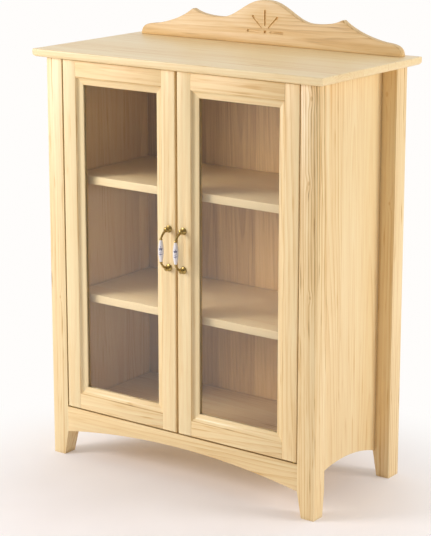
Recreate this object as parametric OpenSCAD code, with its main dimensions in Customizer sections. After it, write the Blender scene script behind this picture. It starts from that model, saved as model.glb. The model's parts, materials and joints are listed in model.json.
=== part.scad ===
// Two-door display cabinet in clear-lacquered pine, with a scrolled crest board, glazed doors,
// brass and porcelain bow handles, two shelves and arched rails between four tapered legs.
// Millimetres. +Z is up, the doors face -Y, and the floor is at Z = 0.

/* [Case] */
// Width over the posts
case_w = 800; // [640:1:1000]
// Depth over the posts
case_d = 387; // [320:1:460]
// Height from the floor to the underside of the top board
case_h = 1032; // [900:1:1200]
// Width of a post, seen from the front
post_w = 47; // [42:1:56]
// Depth of a post, seen from the side
post_d = 45; // [40:1:56]
// Height of the tapered leg under the rails
leg_h = 65; // [45:1:80]
// Width of a foot at the floor, seen from the front
foot_w = 35; // [28:1:40]
// Depth of a front foot at the floor, seen from the side
foot_d = 38; // [28:1:40]

/* [Panels and rails] */
// How far a side panel lies inside the outer face of its posts
panel_recess = 41; // [30:1:41]
// Thickness of a side panel
panel_t = 14; // [13:0.5:20]
// Rise of the arch cut into the lower edge of a side panel
panel_arch = 27; // [10:1:32]
// Height of the front apron at its ends
apron_h = 66; // [58:1:90]
// Rise of the arch cut into the front apron
apron_arch = 32; // [10:1:34]
// Thickness of the rear rails and the rail behind the door tops
rail_t = 22; // [18:1:26]
// Height of the rear rails and the rail behind the door tops
rail_h = 40; // [36:1:60]
// Thickness of a back board
back_t = 9; // [7:0.5:12]
// Thickness of the bottom board
bottom_t = 18; // [15:1:22]
// Height of the bottom board's top face above the apron
bottom_rise = 9.5; // [6:0.5:14]
// Side of the square cleats under the bottom board
cleat_s = 20; // [16:1:24]

/* [Shelves] */
// Thickness of a shelf
shelf_t = 20; // [15:1:25]
// Height of the upper shelf's top face above the floor
upper_shelf_z = 738; // [640:1:800]
// Height of the lower shelf's top face above the floor
lower_shelf_z = 434; // [300:1:520]
// Distance from the doors' front face to the shelves' front edge
shelf_inset = 31; // [29:1:60]
// Radius of a shelf pin's shank
pin_r = 2.5; // [2:0.25:3]
// Radius of a shelf pin's head
pin_head_r = 3.5; // [3.5:0.25:5]
// Length of a shelf pin on each side of the panel's face
pin_l = 8; // [6:0.5:10]

/* [Top and crest] */
// Thickness of the top board
top_t = 20; // [18:1:28]
// Overhang of the top board past the posts
top_over = 25; // [10:1:40]
// Rounding of the top board's upper edge
top_upper_r = 3; // [1:0.5:5]
// Rounding of the top board's lower edge
top_lower_r = 9; // [4:0.5:12]
// Height of the crest board at its middle
crest_h = 111; // [90:1:150]
// Thickness of the crest board
crest_t = 18; // [16:1:24]
// How far the crest board stops short of the posts' outer faces
crest_inset = 6; // [0:1:20]
// Height of the crest board in the hollows beside its middle
crest_valley_h = 61; // [50:1:68]
// Height of the two pointed ears
crest_ear_h = 76.5; // [70:0.5:88]
// Height of the crest board's shoulders near its ends
crest_shoulder_h = 31; // [24:1:40]
// Distance from the rays' centre to the top board
ray_z = 32; // [24:1:36]
// Distance from the rays' centre to where a ray starts
ray_in = 14; // [10:1:20]
// Distance from the rays' centre to where a ray ends
ray_out = 56; // [40:1:60]
// Radius of a carved ray
ray_r = 2.6; // [1.5:0.1:3.5]

/* [Doors] */
// Thickness of a door
door_t = 22; // [20:1:26]
// Gap between a door and the post, the apron and the top board
door_gap = 3; // [3:0.25:4]
// Gap between the two doors
meet_gap = 6; // [3:0.5:7]
// Width of the flat face of a stile or rail
flat_w = 41; // [38:1:48]
// Width of a stile or rail from its outer edge to the glass
sight_w = 59.5; // [56:0.5:68]
// Step down where the moulding starts
quirk = 1.2; // [0.4:0.1:1.5]
// Radius of the moulding's outer, rounded part
ogee_out_r = 3; // [2.5:0.5:6]
// Radius of the moulding's inner, hollow part
ogee_in_r = 9; // [5:0.5:10]
// Depth of the moulding at the glass
ledge_d = 8; // [7.8:0.1:9]
// Wood left in front of the glass
lip_t = 5; // [1.5:0.5:6]
// Width of the rebate that holds the glass
rebate_w = 9; // [7:0.5:12]
// Thickness of the glass
glass_t = 4; // [3:0.5:5]
// Rounding of the doors' front edges
edge_front_r = 3; // [1:0.5:3]
// Rounding of the doors' back edges
edge_back_r = 2; // [1:0.5:3]
// Length of a rail's tenon
tenon_l = 22; // [14:1:24]
// Thickness of a rail's tenon
tenon_t = 6; // [5:0.5:7]

/* [Pivots and catches] */
// Distance from a door's outer edge to its pivot
pivot_in = 9; // [8:0.5:9.5]
// Distance from a door's front face to its pivot
pivot_v = 9; // [8:0.5:10]
// Radius of a pivot pin
pivot_r = 3; // [2.5:0.25:3.25]
// Running clearance of a pivot pin in its bush, on the radius
pivot_clear = 0.05; // [0.02:0.01:0.1]
// Length of a pivot pin inside the door
pivot_l = 20; // [14:1:30]
// Length of a bush below its flange
bush_l = 12; // [8:1:14]
// Room kept behind a door's edge as it swings
swing_clear = 1; // [0.5:0.1:3]
// Radius of a catch's sleeve
catch_r = 6; // [5:0.5:8]
// Length of a catch's sleeve
catch_l = 16; // [12:1:18]
// Gap between a catch and its strike plate
catch_gap = 0.3; // [0.2:0.1:0.8]
// Thickness of a strike plate
strike_t = 1; // [0.8:0.1:1.5]
// Width of a strike plate
strike_w = 14; // [12:1:18]
// Height of a strike plate
strike_h = 24; // [18:1:30]

/* [Handles] */
// Height of the handles' middle above the floor
handle_z = 598; // [500:1:700]
// Distance between a handle's two feet
handle_pitch = 96; // [90:1:120]
// Distance from a door's meeting edge to the handle's centre line
handle_inset = 19; // [18:1:24]
// Distance from the door's face to the grip's centre line
handle_reach = 31; // [28:1:40]
// Length of the porcelain grip
grip_l = 54; // [46:1:56]
// Radius of the grip at its middle
grip_r = 7; // [6:0.5:9]
// Radius of the grip at its ends
grip_end_r = 3.6; // [3.2:0.1:4.5]
// Radius of a handle's foot at the door
foot_r = 9; // [7:0.5:10]
// Radius of a handle's arm
arm_r = 2.7; // [2.2:0.1:3.2]
// Radius of the bend in a handle's arm
arm_bend = 14; // [12:1:16]

/* [Fasteners] */
// Radius of a wooden dowel
dowel_r = 4; // [3:0.5:4]
// Length of a dowel in each piece it joins
dowel_l = 15; // [12:1:17]
// Clearance round a dowel, screw, spigot or tenon, on each side
fit_clear = 0.05; // [0.03:0.01:0.2]
// Radius of a wood screw
screw_r = 2; // [1.5:0.25:2.5]
// Radius of a wood screw's head
screw_head_r = 4; // [3.5:0.25:5]
// How far a wood screw enters the board that it holds
screw_bite = 12; // [8:1:14]

/* [Hidden] */
$fn = 48;
cut = 1;                                             // how far a cutter runs past a face
pine = "#ecd09c";
brass = "#a98a45";
steel = "#b9bcc0";

// Case, worked out from the front face of the posts
y_front = (handle_reach + grip_r - case_d - top_over) / 2;
post_x = case_w / 2 - post_w;                        // inner face of a post
panel_x = case_w / 2 - panel_recess;                 // outer face of a side panel
inner_x = panel_x - panel_t;                         // inner face of a side panel
rear_y = case_d - post_d;                            // front face of a rear post
back_y = rear_y - back_t;                            // front face of the back boards
apron_z = leg_h + apron_h;                           // top of the apron
bottom_z = apron_z + bottom_rise;                    // top of the bottom board
door_x = post_x - door_gap;                          // outer edge of a door
door_w = door_x - meet_gap / 2;
door_z = apron_z + door_gap;
door_h = case_h - door_gap - door_z;
swing_edge = norm([pivot_in - edge_back_r, door_t - pivot_v - edge_back_r]) + edge_back_r;
stop_y = pivot_v + swing_edge + swing_clear;         // what lies behind the doors starts here
pivot_x = door_x - pivot_in;
bush_wall = 2;
bush_r = pivot_r + bush_wall;
flange_t = 1;
flange_over = 2;
collar_over = 1;
collar_gap = 0.1;
sleeve_wall = 1.5;
sleeve_floor = 4;
magnet_r = catch_r - sleeve_wall;
magnet_l = catch_l - sleeve_floor;
catch_y = door_t + strike_t + catch_gap;

// Door section: u runs from the outer edge to the glass, v from the front face to the back
ogee_turn = 60;
hollow_u = flat_w + (ogee_out_r + ogee_in_r) * sin(ogee_turn);
hollow_v = quirk + (ogee_out_r + ogee_in_r) * (1 - cos(ogee_turn));
glass_v = ledge_d + lip_t;
bead_v = glass_v + glass_t;
glass_play = 0.5;
bead_chamfer = 2;
tenon_v = 5.5;                                       // front of a tenon, from the door's face
tenon_edge = 8;                                      // edge of a tenon, from the door's end
tenon_shoulder = 3;                                  // other edge of a tenon, from the moulding
strike_drop = 18;                                    // centre of a strike plate below the door's top
spigot_r = 2;
spigot_l = 7;
handle_u = door_w - handle_inset;
catch_x = meet_gap / 2 + handle_inset;
catch_z = door_z + door_h - strike_drop;

// Back boards, one node each
back_count = 6;
tongue_t = 3;
tongue_l = 5;
tongue_play = 0.2;
board_w = 2 * inner_x / back_count;

// Shelf pins, dowels and screws
pin_in = 40;                                         // shelf pins, from the front and the back
pin_y = [stop_y + pin_in, back_y - pin_in];
pin_gap = 0.1;                                       // between a shelf and its pins
pin_room = 0.3;                                      // past the end of a pin's shank
low_dowel = 15;
high_dowel = 40;
apron_dowel_z = [leg_h + low_dowel, leg_h + high_dowel];
rail_dowel_dz = 11;
glue_room = 1;
fixing_x = 250;                                      // outer dowels and screws, from the middle
crest_dowel_x = [-fixing_x, 0, fixing_x];
rail_screw_x = [-fixing_x, 0, fixing_x];
head_t = 2.5;
head_room = 0.5;
counterbore = 24;                                    // depth of the screw pockets in the top rails
cleat_screw_in = 60;                                 // cleat screws, from the front and the back
cleat_screw_y = [stop_y + cleat_screw_in, back_y - cleat_screw_in];
cleat_front = 10;                                    // cleats stop short of the board's edges
cleat_rear = 5;
board_play = 0.3;                                    // round the sides and back of the bottom board
shelf_play = 1;                                      // round the sides and back of a shelf

// Handles
screw_depth = 8;                                     // thread inside a handle's foot
foot_h = 17;                                         // from the door's face to the knuckle
rim_t = 1.6;                                         // thickness of the foot's rim
rim_step = 1.3;
bell_l = 12;                                         // length of the foot's bell
bell_flare = 0.8;
knuckle_back = 2;
knuckle_r = 5.2;
ferrule_l = 4;
ferrule_rim = 1;
ferrule_flare = 0.3;
rod_r = 1.4;
rod_l = 8;
bolt_r = 1.9;
bolt_head_r = 3.8;
bolt_head_t = 2.4;
bolt_hole_r = 2.2;
bolt_pocket_r = 4.2;
bolt_pocket = 2.8;

// Crest outline for x = 0 and above: each stretch is a cubic curve between named points
crest_half = case_w / 2 - crest_inset;
valley_x = 0.355 * crest_half;
ear_x = 0.574 * crest_half;
shoulder_in = 49;                                    // from the crest's end to its shoulder
shoulder_x = crest_half - shoulder_in;
ear_blunt = 2.5;
ear_dip = 1;
dome_pull = 2;                                       // pulls place the handles of the curves
valley_pull = 35;
rise_pull = [21, 11];
fall_pull = [24, 18];
shoulder_pull = [55, 9];
end_pull = [18, 2];
end_drop = 7;
join = 1;                                            // from one curve's end to the next one's start
join_dip = 0.1;
hub_extra = 0.4;                                     // the rays' hub is this much larger than a ray
crest_steps = 10;

function arc(c, r, a0, a1, n) =
    [for (i = [0:n]) let (a = a0 + (a1 - a0) * i / n) [c[0] + r * cos(a), c[1] + r * sin(a)]];

function cubic(p, q, r, s, n) =
    [for (i = [0:n]) let (t = i / n, w = 1 - t)
        w * w * w * p + 3 * w * w * t * q + 3 * w * t * t * r + t * t * t * s];

function crest_right() = concat(
    cubic([0, crest_h], [0.147 * crest_half, crest_h + dome_pull],
          [0.223 * crest_half, crest_valley_h], [valley_x, crest_valley_h], 2 * crest_steps),
    cubic([valley_x + join, crest_valley_h], [valley_x + valley_pull, crest_valley_h],
          [ear_x, crest_ear_h] - rise_pull, [ear_x - ear_blunt, crest_ear_h - 0.8 * ear_dip],
          crest_steps),
    [[ear_x, crest_ear_h]],
    cubic([ear_x + ear_blunt, crest_ear_h - ear_dip],
          [ear_x + fall_pull[0], crest_ear_h - fall_pull[1]],
          [shoulder_x - shoulder_pull[0], crest_shoulder_h + shoulder_pull[1]],
          [shoulder_x, crest_shoulder_h], crest_steps),
    cubic([shoulder_x + join, crest_shoulder_h - join_dip],
          [crest_half, crest_shoulder_h] - end_pull,
          [crest_half, crest_shoulder_h - end_drop], [crest_half, 0], crest_steps));

function flipped(pts) = [for (i = [len(pts) - 1:-1:1]) [-pts[i][0], pts[i][1]]];

// Placing
module case_side(right) {
    if (right) translate([0, y_front, 0]) children();
    else mirror([1, 0, 0]) translate([0, y_front, 0]) children();
}

module case_place() {
    translate([0, y_front, 0]) children();
}

module door_place(right) {
    if (right) mirror([1, 0, 0]) translate([-door_x, y_front, door_z]) children();
    else translate([-door_x, y_front, door_z]) children();
}

module block(from, to) {
    translate(from) cube(to - from);
}

module rod(from, r, l, turn = [0, 0, 0]) {
    translate(from) rotate(turn) cylinder(r = r, h = l);
}

along_x = [0, 90, 0];
along_y = [-90, 0, 0];

// Case
module post(right, front) {
    y0 = front ? 0 : rear_y;
    y1 = y0 + post_d;
    dowel_y = front ? stop_y / 2 : rear_y + rail_t / 2;
    dowel_z = front ? apron_dowel_z : rear_dowel_z();
    color(pine) case_side(right) difference() {
        intersection() {
            translate([0, y1, 0]) rotate([90, 0, 0]) linear_extrude(post_d) polygon([
                [post_x, case_h], [post_x, leg_h], [case_w / 2 - foot_w, 0],
                [case_w / 2, 0], [case_w / 2, case_h]]);
            if (front) translate([post_x - cut, 0, 0]) rotate([90, 0, 90])
                linear_extrude(post_w + 2 * cut) polygon([
                    [0, 0], [foot_d, 0], [post_d, leg_h], [post_d, case_h], [0, case_h]]);
            else block([post_x - cut, y0, 0], [case_w / 2 + cut, y1, case_h]);
        }
        for (z = dowel_z) rod([post_x - cut, dowel_y, z], dowel_r, dowel_l + glue_room + cut, along_x);
    }
}

function rear_dowel_z() = [
    rear_bottom_z() + rail_h / 2 - rail_dowel_dz, rear_bottom_z() + rail_h / 2 + rail_dowel_dz,
    case_h - rail_h / 2 - rail_dowel_dz, case_h - rail_h / 2 + rail_dowel_dz];

function rear_bottom_z() = bottom_z - rail_h;

module side_panel(right) {
    half = (rear_y - post_d) / 2;
    arch_r = (half * half + panel_arch * panel_arch) / (2 * panel_arch);
    color(pine) case_side(right) difference() {
        union() {
            block([post_x, post_d, leg_h], [panel_x, rear_y, case_h]);
            block([inner_x, stop_y, leg_h], [post_x, rear_y, case_h]);
        }
        translate([0, post_d + half, leg_h + panel_arch - arch_r]) rotate(along_x)
            cylinder(r = arch_r, h = case_w, $fn = 360);
        for (y = pin_y, z = [upper_shelf_z, lower_shelf_z])
            rod([inner_x - cut, y, z - shelf_t - pin_head_r - pin_gap], pin_r + fit_clear,
                pin_l + cut + pin_room, along_x);
    }
}

module front_apron() {
    arch_r = (post_x * post_x + apron_arch * apron_arch) / (2 * apron_arch);
    color(pine) case_place() difference() {
        block([-post_x, 0, leg_h], [post_x, stop_y, apron_z]);
        translate([0, -cut, leg_h + apron_arch - arch_r]) rotate(along_y)
            cylinder(r = arch_r, h = stop_y + 2 * cut, $fn = 720);
        for (s = [-1, 1]) {
            for (z = apron_dowel_z) rail_dowel_hole(s, stop_y / 2, z);
            rod([s * pivot_x, pivot_v, apron_z - bush_l - glue_room], bush_r + fit_clear,
                bush_l + glue_room + cut);
        }
    }
}

module rail_dowel_hole(s, y, z) {
    depth = dowel_l + glue_room;
    rod([s > 0 ? post_x - depth : -post_x - cut, y, z], dowel_r, depth + cut, along_x);
}

module rail_with_screws(y0, y1, half) {
    difference() {
        block([-half, y0, case_h - rail_h], [half, y1, case_h]);
        for (x = rail_screw_x) {
            rod([x, (y0 + y1) / 2, case_h - rail_h - cut], screw_head_r + head_room, counterbore + cut);
            rod([x, (y0 + y1) / 2, case_h - rail_h], screw_r + fit_clear, rail_h + cut);
        }
    }
}

module front_top_rail() {
    color(pine) case_place() difference() {
        rail_with_screws(stop_y, stop_y + rail_t, inner_x);
        for (s = [-1, 1])
            rod([s * catch_x, stop_y - cut, catch_z], catch_r + fit_clear, catch_l + cut, along_y);
    }
}

module rear_top_rail() {
    color(pine) case_place() difference() {
        rail_with_screws(rear_y, rear_y + rail_t, post_x);
        for (s = [-1, 1], k = [-1, 1])
            rail_dowel_hole(s, rear_y + rail_t / 2, case_h - rail_h / 2 + k * rail_dowel_dz);
    }
}

module rear_bottom_rail() {
    z0 = rear_bottom_z();
    color(pine) case_place() difference() {
        block([-post_x, rear_y, z0], [post_x, rear_y + rail_t, bottom_z]);
        for (s = [-1, 1], k = [-1, 1])
            rail_dowel_hole(s, rear_y + rail_t / 2, z0 + rail_h / 2 + k * rail_dowel_dz);
    }
}

module bottom_board() {
    color(pine) case_place() difference() {
        block([board_play - inner_x, stop_y, bottom_z - bottom_t],
            [inner_x - board_play, back_y - board_play, bottom_z]);
        for (s = [-1, 1], y = cleat_screw_y)
            rod([s * (inner_x - cleat_s / 2), y, bottom_z - bottom_t - cut], screw_r + fit_clear,
                screw_bite + glue_room + cut);
    }
}

module cleat(right) {
    z1 = bottom_z - bottom_t;
    color(pine) case_side(right) difference() {
        block([inner_x - cleat_s, stop_y + cleat_front, z1 - cleat_s],
            [inner_x, back_y - cleat_rear, z1]);
        for (y = cleat_screw_y) {
            rod([inner_x - cleat_s / 2, y, z1 - cleat_s - cut], screw_r + fit_clear, cleat_s + 2 * cut);
            rod([inner_x - cleat_s / 2, y, z1 - cleat_s - cut], screw_head_r + head_room,
                head_t + head_room + cut);
        }
    }
}

module edge_cut(r) {
    difference() {
        translate([-cut, -cut]) square(r + cut);
        translate([r, r]) circle(r);
    }
}

module top_section(half) {
    difference() {
        translate([-half, 0]) square([2 * half, top_t]);
        for (s = [0, 1]) mirror([s, 0]) translate([-half, 0]) {
            edge_cut(top_lower_r);
            translate([0, top_t]) mirror([0, 1]) edge_cut(top_upper_r);
        }
    }
}

module top_board() {
    long = case_w / 2 + top_over;
    deep = case_d / 2 + top_over;
    color(pine) case_place() difference() {
        translate([0, case_d / 2, case_h]) intersection() {
            translate([0, deep, 0]) rotate([90, 0, 0]) linear_extrude(2 * deep) top_section(long);
            translate([-long, 0, 0]) rotate([90, 0, 90]) linear_extrude(2 * long) top_section(deep);
        }
        for (s = [-1, 1])
            rod([s * pivot_x, pivot_v, case_h - cut], bush_r + fit_clear, bush_l + glue_room + cut);
        for (x = rail_screw_x, y = [stop_y + rail_t / 2, rear_y + rail_t / 2])
            rod([x, y, case_h - cut], screw_r + fit_clear, screw_bite + glue_room + cut);
        for (x = crest_dowel_x)
            rod([x, case_d - crest_t / 2, case_h + top_t - dowel_l - glue_room], dowel_r,
                dowel_l + glue_room + cut);
    }
}

module crest_board() {
    right = crest_right();
    face = case_d - crest_t;
    color(pine) translate([0, y_front, case_h + top_t]) difference() {
        translate([0, case_d, 0]) rotate([90, 0, 0]) linear_extrude(crest_t)
            polygon(concat(flipped(right), right));
        translate([0, face, ray_z]) {
            sphere(r = ray_r + hub_extra);
            for (a = [0:45:180]) rotate([0, -a, 0]) {
                translate([ray_in, 0, 0]) sphere(r = ray_r);
                translate([ray_out, 0, 0]) sphere(r = ray_r);
                rod([ray_in, 0, 0], ray_r, ray_out - ray_in, along_x);
            }
        }
        for (x = crest_dowel_x)
            rod([x, case_d - crest_t / 2, -cut], dowel_r, dowel_l + glue_room + cut);
    }
}

module back_board(i) {
    x0 = -inner_x + i * board_w;
    z0 = rear_bottom_z();
    tongue_y = back_y + (back_t - tongue_t) / 2;
    color(pine) case_place() difference() {
        union() {
            block([x0, back_y, z0], [x0 + board_w, rear_y, case_h]);
            if (i < back_count - 1) block([x0 + board_w - cut, tongue_y + tongue_play, z0],
                [x0 + board_w + tongue_l - tongue_play, tongue_y + tongue_t - tongue_play, case_h]);
        }
        if (i > 0) block([x0 - cut, tongue_y, z0 - cut],
            [x0 + tongue_l, tongue_y + tongue_t, case_h + cut]);
    }
}

module shelf(z) {
    color(pine) case_place() block([shelf_play - inner_x, shelf_inset, z - shelf_t],
        [inner_x - shelf_play, back_y - shelf_play, z]);
}

module shelf_pins() {
    color(steel) for (right = [false, true]) case_side(right)
        for (y = pin_y, z = [upper_shelf_z, lower_shelf_z])
            translate([inner_x, y, z - shelf_t - pin_head_r - pin_gap]) {
                rod([0, 0, 0], pin_r, pin_l, along_x);
                rod([-pin_l, 0, 0], pin_head_r, pin_l, along_x);
            }
}

module frame_dowels() {
    l = 2 * dowel_l;
    color(pine) case_place() for (s = [-1, 1]) {
        for (z = apron_dowel_z)
            rod([s * post_x - dowel_l, stop_y / 2, z], dowel_r - fit_clear, l, along_x);
        for (z = rear_dowel_z())
            rod([s * post_x - dowel_l, rear_y + rail_t / 2, z], dowel_r - fit_clear, l, along_x);
    }
}

module crest_dowels() {
    color(pine) case_place() for (x = crest_dowel_x)
        rod([x, case_d - crest_t / 2, case_h + top_t - dowel_l], dowel_r - fit_clear, 2 * dowel_l);
}

module wood_screw(at, l) {
    rod(at, screw_head_r, head_t);
    rod(at, screw_r, l);
}

module top_screws() {
    z0 = case_h - rail_h + counterbore - head_t;
    color(steel) case_place() for (x = rail_screw_x, y = [stop_y + rail_t / 2, rear_y + rail_t / 2])
        wood_screw([x, y, z0], case_h + screw_bite - z0);
}

module cleat_screws() {
    z0 = bottom_z - bottom_t - cleat_s + head_room;
    color(steel) case_place() for (s = [-1, 1], y = cleat_screw_y)
        wood_screw([s * (inner_x - cleat_s / 2), y, z0], cleat_s + screw_bite - head_room);
}

// Pivots and catches

module pivot_bush() {
    difference() {
        union() {
            rod([0, 0, -bush_l], bush_r, bush_l);
            rod([0, 0, 0], bush_r + flange_over, flange_t);
        }
        rod([0, 0, -bush_l - cut], pivot_r + pivot_clear, bush_l + flange_t + 2 * cut);
    }
}

module pivot_bushes() {
    color(brass) case_place() for (s = [-1, 1]) {
        translate([s * pivot_x, pivot_v, apron_z]) pivot_bush();
        translate([s * pivot_x, pivot_v, case_h]) mirror([0, 0, 1]) pivot_bush();
    }
}

module pivot_pin() {
    rod([0, 0, -door_gap - bush_l], pivot_r, pivot_l + door_gap + bush_l);
    rod([0, 0, flange_t + collar_gap - door_gap], bush_r + collar_over,
        door_gap - flange_t - collar_gap);
}

module pivot_pins(right) {
    color(brass) door_place(right) {
        translate([pivot_in, pivot_v, 0]) pivot_pin();
        translate([pivot_in, pivot_v, door_h]) mirror([0, 0, 1]) pivot_pin();
    }
}

module catch_sleeves() {
    color("#f2f0ea") case_place() for (s = [-1, 1]) difference() {
        rod([s * catch_x, catch_y, catch_z], catch_r, catch_l, along_y);
        rod([s * catch_x, catch_y - cut, catch_z], magnet_r + fit_clear, magnet_l + cut, along_y);
    }
}

module catch_magnets() {
    color(steel) case_place() for (s = [-1, 1])
        rod([s * catch_x, catch_y, catch_z], magnet_r, magnet_l, along_y);
}

// Doors, each in its own frame: x from the pivot edge, y from the front face, z from the bottom
module rounded_blank(w) {
    polygon(concat(
        arc([edge_front_r, edge_front_r], edge_front_r, 180, 270, 6),
        arc([w - edge_front_r, edge_front_r], edge_front_r, 270, 360, 6),
        arc([w - edge_back_r, door_t - edge_back_r], edge_back_r, 0, 90, 5),
        arc([edge_back_r, door_t - edge_back_r], edge_back_r, 90, 180, 5)));
}

// Draws a section whose u is height along the whole width of the door
module along_door() {
    translate([door_w, 0, 0]) rotate([0, -90, 0]) linear_extrude(door_w) children();
}

module door_blank() {
    intersection() {
        linear_extrude(door_h) rounded_blank(door_w);
        along_door() rounded_blank(door_h);
    }
}

module member_section() {
    polygon(concat(
        [[0, 0], [flat_w, 0]],
        arc([flat_w, quirk + ogee_out_r], ogee_out_r, -90, ogee_turn - 90, 6),
        arc([hollow_u, hollow_v - ogee_in_r], ogee_in_r, 90 + ogee_turn, 90, 8),
        [[sight_w, ledge_d], [sight_w, glass_v], [sight_w - rebate_w, glass_v],
         [sight_w - rebate_w, door_t], [0, door_t]]));
}

// The face of a stile, mitred where its moulding meets the rails
module stile_face() {
    polygon([[0, 0], [flat_w, 0], [flat_w, flat_w], [sight_w, sight_w],
        [sight_w, door_h - sight_w], [flat_w, door_h - flat_w], [flat_w, door_h], [0, door_h]]);
}

module rail_face() {
    polygon([[flat_w, 0], [door_w - flat_w, 0], [door_w - flat_w, flat_w],
        [door_w - sight_w, sight_w], [sight_w, sight_w], [flat_w, flat_w]]);
}

module through_door() {
    translate([0, door_t + cut, 0]) rotate([90, 0, 0]) linear_extrude(door_t + 2 * cut) children();
}

module stile() {
    intersection() {
        door_blank();
        linear_extrude(door_h) member_section();
        through_door() stile_face();
    }
}

module tenon(x0, x1, play) {
    block([x0, tenon_v - play, tenon_edge - play],
        [x1, tenon_v + tenon_t + play, flat_w - tenon_shoulder + play]);
}

module mortises(play) {
    for (top = [0, 1]) translate([0, 0, top * door_h]) mirror([0, 0, top])
        tenon(flat_w - tenon_l - glue_room, flat_w + cut, play);
}

module rail() {
    union() {
        intersection() {
            door_blank();
            along_door() member_section();
            through_door() rail_face();
        }
        tenon(flat_w - tenon_l, flat_w + cut, 0);
        tenon(door_w - flat_w - cut, door_w - flat_w + tenon_l, 0);
    }
}

module hinge_stile(right) {
    color(pine) door_place(right) difference() {
        stile();
        mortises(fit_clear);
        for (z = [-cut, door_h - pivot_l])
            rod([pivot_in, pivot_v, z], pivot_r + fit_clear, pivot_l + cut);
    }
}

module meeting_stile(right) {
    color(pine) door_place(right) difference() {
        translate([door_w, 0, 0]) mirror([1, 0, 0]) stile();
        translate([door_w, 0, 0]) mirror([1, 0, 0]) mortises(fit_clear);
        for (s = [-1, 1]) translate([handle_u, 0, handle_z - door_z + s * handle_pitch / 2]) {
            rod([0, -cut, 0], bolt_hole_r, door_t + 2 * cut, along_y);
            rod([0, door_t - bolt_pocket, 0], bolt_pocket_r, bolt_pocket + cut, along_y);
        }
        rod([handle_u, door_t - spigot_l - glue_room, door_h - strike_drop], spigot_r + fit_clear,
            spigot_l + glue_room + cut, along_y);
    }
}

module door_rail(right, top) {
    color(pine) door_place(right)
        translate([0, 0, top ? door_h : 0]) mirror([0, 0, top ? 1 : 0]) rail();
}

module glass(right) {
    edge = sight_w - rebate_w + glass_play;
    color("#cfe0dd", 0.35) door_place(right)
        block([edge, glass_v, edge], [door_w - edge, bead_v, door_h - edge]);
}

module bead_section() {
    u0 = sight_w - rebate_w;
    polygon([[u0, bead_v], [sight_w, bead_v], [sight_w, door_t - bead_chamfer],
        [sight_w - bead_chamfer, door_t],
        [u0, door_t]]);
}

module bead_face(w) {
    u0 = sight_w - rebate_w;
    polygon([[u0, u0], [w - u0, u0], [w - sight_w, sight_w], [sight_w, sight_w]]);
}

module rail_bead() {
    intersection() {
        along_door() bead_section();
        through_door() bead_face(door_w);
    }
}

module stile_bead() {
    intersection() {
        linear_extrude(door_h) bead_section();
        through_door() mirror([1, -1]) bead_face(door_h);
    }
}

module glazing_beads(right) {
    color(pine) door_place(right) {
        rail_bead();
        translate([0, 0, door_h]) mirror([0, 0, 1]) rail_bead();
        stile_bead();
        translate([door_w, 0, 0]) mirror([1, 0, 0]) stile_bead();
    }
}

module strike_plate(right) {
    color(steel) door_place(right) translate([handle_u, door_t, door_h - strike_drop]) {
        block([-strike_w / 2, 0, -strike_h / 2], [strike_w / 2, strike_t, strike_h / 2]);
        rod([0, -spigot_l, 0], spigot_r, spigot_l + strike_t / 2, along_y);
    }
}

// Handles, each about the middle of its grip's shadow on the door's face
module handle_place(right) {
    door_place(right) translate([handle_u, 0, handle_z - door_z]) children();
}

module handle_arm() {
    bend_y = arm_bend - handle_reach;
    bend_z = handle_pitch / 2 - arm_bend;
    out = [90, 0, 0];
    difference() {
        union() {
            translate([0, 0, handle_pitch / 2]) {
                rod([0, 0, 0], foot_r, rim_t, out);
                translate([0, -rim_t, 0]) rotate(out)
                    cylinder(r1 = foot_r - rim_step, r2 = arm_r + bell_flare, h = bell_l);
                translate([0, knuckle_back - foot_h, 0]) sphere(r = knuckle_r);
            }
            translate([0, bend_y, bend_z]) rotate([90, 0, -90])
                rotate_extrude(angle = 90, $fn = 64) translate([arm_bend, 0]) circle(arm_r);
            rod([0, -handle_reach, grip_l / 2], arm_r, bend_z - grip_l / 2);
            translate([0, -handle_reach, grip_l / 2])
                cylinder(r1 = grip_end_r + ferrule_rim, r2 = arm_r + ferrule_flare, h = ferrule_l);
            rod([0, -handle_reach, grip_l / 2 - rod_l], rod_r, rod_l + cut);
        }
        rod([0, cut, handle_pitch / 2], bolt_r + fit_clear, screw_depth + glue_room + cut, out);
    }
}

module handle_arms(right) {
    color(brass) handle_place(right) {
        handle_arm();
        mirror([0, 0, 1]) handle_arm();
    }
}

module handle_grip(right) {
    drop = grip_r - grip_end_r;
    half = grip_l / 2;
    big_r = (half * half + drop * drop) / (2 * drop);
    reach = asin(half / big_r);
    color("#f3f1ee") handle_place(right) translate([0, -handle_reach, 0]) rotate_extrude() polygon(concat(
        [[rod_r + fit_clear, -half]],
        arc([grip_r - big_r, 0], big_r, -reach, reach, 16),
        [[rod_r + fit_clear, half]]));
}

module handle_screws(right) {
    color(steel) handle_place(right) for (s = [-1, 1]) translate([0, 0, s * handle_pitch / 2]) {
        rod([0, -screw_depth, 0], bolt_r, screw_depth + door_t - bolt_pocket + 0.5, along_y);
        rod([0, door_t - bolt_pocket, 0], bolt_head_r, bolt_head_t, along_y);
    }
}

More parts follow.
